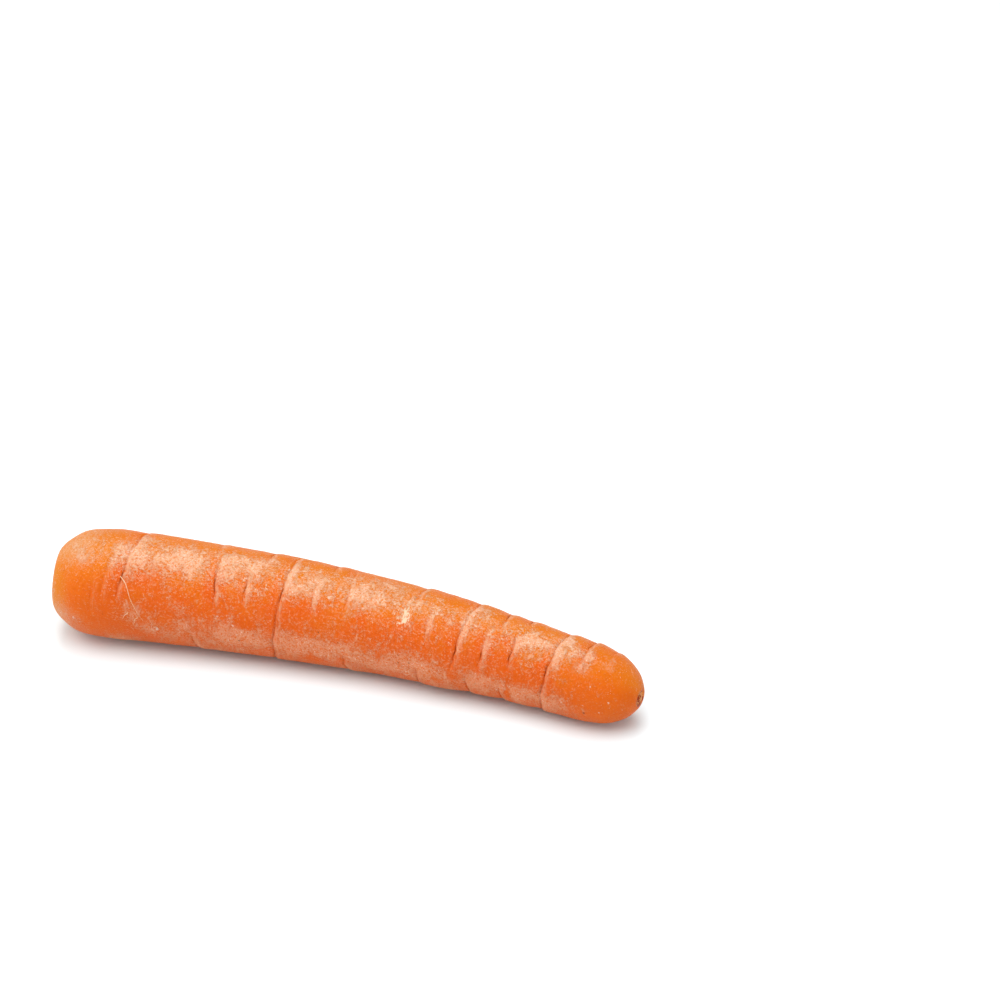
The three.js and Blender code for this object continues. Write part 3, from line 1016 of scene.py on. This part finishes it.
def add_stalk(bundle, carry, draw, start, turn, width, thickness, height, lean):
    """One cut leaf stalk, ribbed outside and ragged at its cut end."""
    sides, steps = 36, 14
    section = crescent(width, thickness, sides, 9)
    levels = np.linspace(0, 1, steps) ** 0.8
    phase = draw.uniform(0, 6.28, 3)
    edge = 2 * math.pi * np.arange(sides) / sides
    ragged = 0.3 * np.sin(3 * edge + phase[0]) + 0.2 * np.sin(7 * edge + phase[1])
    ragged += draw.normal(0, 0.09, sides)
    rings = []
    for level in levels:
        up = level * height + ragged * 0.42 * level**3
        narrow = 1 - 0.1 * level - 0.25 * smooth_step(level, 0.93, 1)
        x = section[:, 0] * narrow
        y = section[:, 1] * narrow + start + lean * up
        rings.append(turned_ring(x, y, up, turn))
    rings = np.array(rings)
    dry = 0.55 - 0.55 * smooth_step(levels, 0.25, 0.8) + 0.35 * smooth_step(levels, 0.9, 1)
    bundle.add(carry(rings), grown_places(rings, turn), dry[:, None])


def add_shred(bundle, carry, draw, turn, start, width, tall, curl, dry):
    """A thin scale left of a leaf stalk, bent over at its top by the curl."""
    steps, sides = 12, 12
    levels = np.linspace(0, 1, steps)
    edge = 2 * math.pi * np.arange(sides) / sides
    phase = draw.uniform(0, 6.28)
    rings = []
    for level in levels:
        narrow = (1 - 0.75 * level**3) * width * (1 + 0.12 * math.sin(11 * level + phase))
        x = narrow * np.cos(edge) + 0.3 * math.sin(4 * level + phase)
        creased = 0.12 * np.sin(5 * x + phase)
        y = start + curl * level**2 + creased + 0.1 * (1 - 0.5 * level) * np.sin(edge)
        up = 0.9 + tall * level * (1 - 0.12 * level * abs(curl)) + 0.15 * level * np.sin(6 * x + phase)
        rings.append(turned_ring(x, y, up, turn))
    rings = np.array(rings)
    bundle.add(carry(rings), grown_places(rings, turn), (dry - 0.3 * levels)[:, None])


def add_leaf_stalks(shape, colours, skin):
    """The tuft of cut leaf stalks in the eye of the crown, in place of the CAD tuft."""
    radius = shape.stalk_radius / MM
    foot = shape.stalk_foot / MM
    x, side, height, heading = (float(v) for v in skin.middle_line(np.float64(0)))
    inward = np.array([math.cos(heading), math.sin(heading), 0])
    upright = np.array([0, 0, 1.0])
    outward = math.sin(skin.crown_tilt) * upright - math.cos(skin.crown_tilt) * inward
    upward = math.cos(skin.crown_tilt) * upright + math.sin(skin.crown_tilt) * inward
    sideways = np.array([math.sin(heading), -math.cos(heading), 0])
    middle = np.array([x, side, height]) + skin.shift + foot * inward

    def carry(points):
        """From the tuft's own frame, +Z out of the crown, to the root's place, in metres."""
        placed = points[..., :1] * sideways + points[..., 1:2] * upward + points[..., 2:] * outward
        return (placed + middle) * MM

    draw = np.random.default_rng(3)
    bundle = Bundle()
    turn = np.linspace(0, 2 * math.pi, 48, endpoint=False)
    bed = []
    for spread_out, up in BED_OUTLINE:
        rough = 1 + 0.03 * np.sin(9 * turn + up)
        bed.append(
            np.stack(
                [
                    radius * spread_out * rough * np.cos(turn),
                    radius * spread_out * rough * np.sin(turn),
                    up + 0.12 * np.sin(5 * turn + 3 * up) * (up > 1),
                ],
                axis=-1,
            )
        )
    bed = np.array(bed)
    bundle.add(carry(bed), bed, 0.75)

    for i in range(OUTER_STALKS):
        turn_at = 2 * math.pi * i / OUTER_STALKS + draw.uniform(-0.3, 0.3)
        tall = 2.7 + 0.8 * math.cos(2.6 * i + 1) + draw.uniform(-0.35, 0.35)
        width, lean = draw.uniform(1.9, 3.9), draw.uniform(-0.05, 0.2)
        start, thickness = draw.uniform(2.9, 3.4), draw.uniform(0.7, 1.1)
        add_stalk(bundle, carry, draw, start, turn_at, width, thickness, tall, lean)
    for i in range(INNER_STALKS):
        turn_at = 2 * math.pi * i / INNER_STALKS + draw.uniform(-0.5, 0.5)
        tall = 2.8 + draw.uniform(-0.6, 0.6)
        start, width = draw.uniform(1.0, 2.0), draw.uniform(1.3, 2.6)
        add_stalk(bundle, carry, draw, start, turn_at, width, 0.8, tall, 0.05)
    for _ in range(PAPERY_SHREDS):
        turn_at, start = draw.normal(1.2, 0.9), draw.uniform(0.4, 3.4)
        width, tall = draw.uniform(0.6, 1.3), draw.uniform(2.0, 3.0)
        add_shred(bundle, carry, draw, turn_at, start, width, tall, draw.uniform(-0.6, 0.9), 0.3)
    for i in range(WALL_SHREDS):
        turn_at = 2 * math.pi * i / WALL_SHREDS + draw.uniform(-0.1, 0.1)
        start = draw.uniform(4.45, 4.7)
        width, tall = draw.uniform(0.5, 1.1), draw.uniform(1.4, 2.7)
        add_shred(bundle, carry, draw, turn_at, start, width, tall, draw.uniform(-0.3, 0.4), 0.85)

    stalks = bundle.make("leaf_stalk_tuft")
    stalks.data.materials.append(stalk_material(colours))
    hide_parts("leaf_stalks")
    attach(stalks, "root")


def add_rootlets(shape, colours, skin):
    """Thread-thin rootlets that lie on the skin."""
    sides = 8
    vertices, faces = [], []
    for line in ROOTLETS:
        path = smooth_line(line, 8)
        along, angle = path[:, 0], path[:, 1]
        out = skin.relief(along, angle)[0]
        share = np.linspace(0, 1, len(path))
        thin = shape.rootlet_radius / MM * (1 - 0.75 * share)
        lift = 0.6 * thin + 0.14 * np.abs(np.sin(7 * share))
        middle = skin.place(along, skin.radius_at(along) + out + lift, angle)
        above = skin.place(along, skin.radius_at(along) + out + lift + 1, angle)
        outward = above - middle
        ahead = np.gradient(middle, axis=0)
        across = np.cross(outward, ahead)
        across /= np.linalg.norm(across, axis=1, keepdims=True)
        turn = 2 * math.pi * np.arange(sides) / sides
        ring = thin[:, None, None] * (
            across[:, None] * np.cos(turn)[None, :, None] + outward[:, None] * np.sin(turn)[None, :, None]
        )
        first = sum(len(part) for part in vertices)
        tube = (middle[:, None] + ring).reshape(-1, 3)
        vertices.append(np.vstack([tube, middle[:1], middle[-1:]]) * MM)
        faces += closed_tube(len(path), sides, first)
    threads = object_from("rootlets", np.vstack(vertices), faces)
    threads.data.materials.append(rootlet_material(colours))
    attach(threads, "root")


def add_area_light(name, place, width, depth, power, aim=(0, 0, 0)):
    """A soft rectangular light at a place, turned towards a spot on the floor."""
    data = bpy.data.lights.new(name, "AREA")
    data.shape = "RECTANGLE"
    data.size = width
    data.size_y = depth
    data.energy = power
    data.color = (1, 0.99, 0.98)
    light = bpy.data.objects.new(name, data)
    light.location = place
    light.rotation_euler = (Vector(aim) - place).to_track_quat("-Z", "Y").to_euler()
    bpy.context.scene.collection.objects.link(light)


def white_room(brightness):
    """A plain white world that lights the carrot softly from all round."""
    world = bpy.data.worlds.new("white_room")
    world.use_nodes = True
    background = world.node_tree.nodes["Background"]
    background.inputs["Color"].default_value = (1, 1, 1, 1)
    background.inputs["Strength"].default_value = brightness
    return world


def add_stage(studio, colours):
    """The white floor, the lights and the camera."""
    half = FLOOR_HALF
    corners = [(-half, -half, 0), (half, -half, 0), (half, half, 0), (-half, half, 0)]
    floor = object_from("studio_floor", corners, [(0, 1, 2, 3)])
    floor.location.z = -FLOOR_DROP
    floor.data.materials.append(paper_material(colours))

    view = Vector((-math.sin(studio.azimuth), math.cos(studio.azimuth), 0))
    right = Vector((view.y, -view.x, 0))
    up = Vector((0, 0, 1))
    aside = -0.3 * right
    add_area_light("key_light", up - 0.29 * view + aside, 1.7, 0.8, studio.key_power, aside)
    add_area_light("sheen_light", up + 0.36 * view, 0.6, 0.5, studio.sheen_power)
    add_area_light("fill_light", 0.5 * up - 0.7 * view + 1.1 * right, 0.8, 0.8, studio.fill_power)
    add_area_light("side_light", 0.35 * up - 0.2 * view - 1.3 * right, 0.8, 0.6, studio.side_power)
    bpy.context.scene.world = white_room(studio.room)

    data = bpy.data.cameras.new("camera")
    data.sensor_width = 36
    data.lens = studio.lens
    data.clip_end = 50
    camera = bpy.data.objects.new("camera", data)
    aim = Vector(studio.aim)
    back = math.sin(studio.elevation) * up - math.cos(studio.elevation) * view
    camera.location = aim + studio.distance * back
    camera.rotation_euler = (-back).to_track_quat("-Z", "Y").to_euler()
    bpy.context.scene.collection.objects.link(camera)
    bpy.context.scene.camera = camera
    bpy.context.scene.view_settings.view_transform = "Standard"


class CARROT_OT_root(bpy.types.Operator):
    """Make the root's creased skin"""

    bl_idname = "carrot.make_root"
    bl_label = "Make Root"

    def execute(self, context):
        add_root(context.scene.carrot_shape, context.scene.carrot_colours)
        return {"FINISHED"}


class CARROT_OT_leaf_stalks(bpy.types.Operator):
    """Make the cut leaf stalks in the crown"""

    bl_idname = "carrot.make_leaf_stalks"
    bl_label = "Make Leaf Stalks"

    def execute(self, context):
        shape = context.scene.carrot_shape
        add_leaf_stalks(shape, context.scene.carrot_colours, placed_skin(shape))
        return {"FINISHED"}


class CARROT_OT_rootlets(bpy.types.Operator):
    """Make the rootlets that lie on the skin"""

    bl_idname = "carrot.make_rootlets"
    bl_label = "Make Rootlets"

    def execute(self, context):
        shape = context.scene.carrot_shape
        add_rootlets(shape, context.scene.carrot_colours, placed_skin(shape))
        return {"FINISHED"}


class CARROT_OT_stage(bpy.types.Operator):
    """Make the white floor, the lights and the camera"""

    bl_idname = "carrot.make_stage"
    bl_label = "Make Stage"

    def execute(self, context):
        add_stage(context.scene.carrot_studio, context.scene.carrot_colours)
        return {"FINISHED"}


OPERATORS = (CARROT_OT_stage, CARROT_OT_root, CARROT_OT_leaf_stalks, CARROT_OT_rootlets)


class CARROT_PT_panel(bpy.types.Panel):
    """Lists what the add-on makes"""

    bl_label = "Carrot"
    bl_space_type = "VIEW_3D"
    bl_region_type = "UI"
    bl_category = "Carrot"

    def draw(self, context):
        for operator in OPERATORS:
            self.layout.operator(operator.bl_idname)


CLASSES = (CarrotShape, CarrotColours, CarrotStudio) + OPERATORS + (CARROT_PT_panel,)


def register():
    for made in CLASSES:
        bpy.utils.register_class(made)
    bpy.types.Scene.carrot_shape = PointerProperty(type=CarrotShape)
    bpy.types.Scene.carrot_colours = PointerProperty(type=CarrotColours)
    bpy.types.Scene.carrot_studio = PointerProperty(type=CarrotStudio)


def unregister():
    del bpy.types.Scene.carrot_studio
    del bpy.types.Scene.carrot_colours
    del bpy.types.Scene.carrot_shape
    for made in reversed(CLASSES):
        bpy.utils.unregister_class(made)


def main():
    register()
    bpy.ops.carrot.make_stage()
    bpy.ops.carrot.make_root()
    bpy.ops.carrot.make_leaf_stalks()
    bpy.ops.carrot.make_rootlets()


if __name__ == "__main__":
    main()
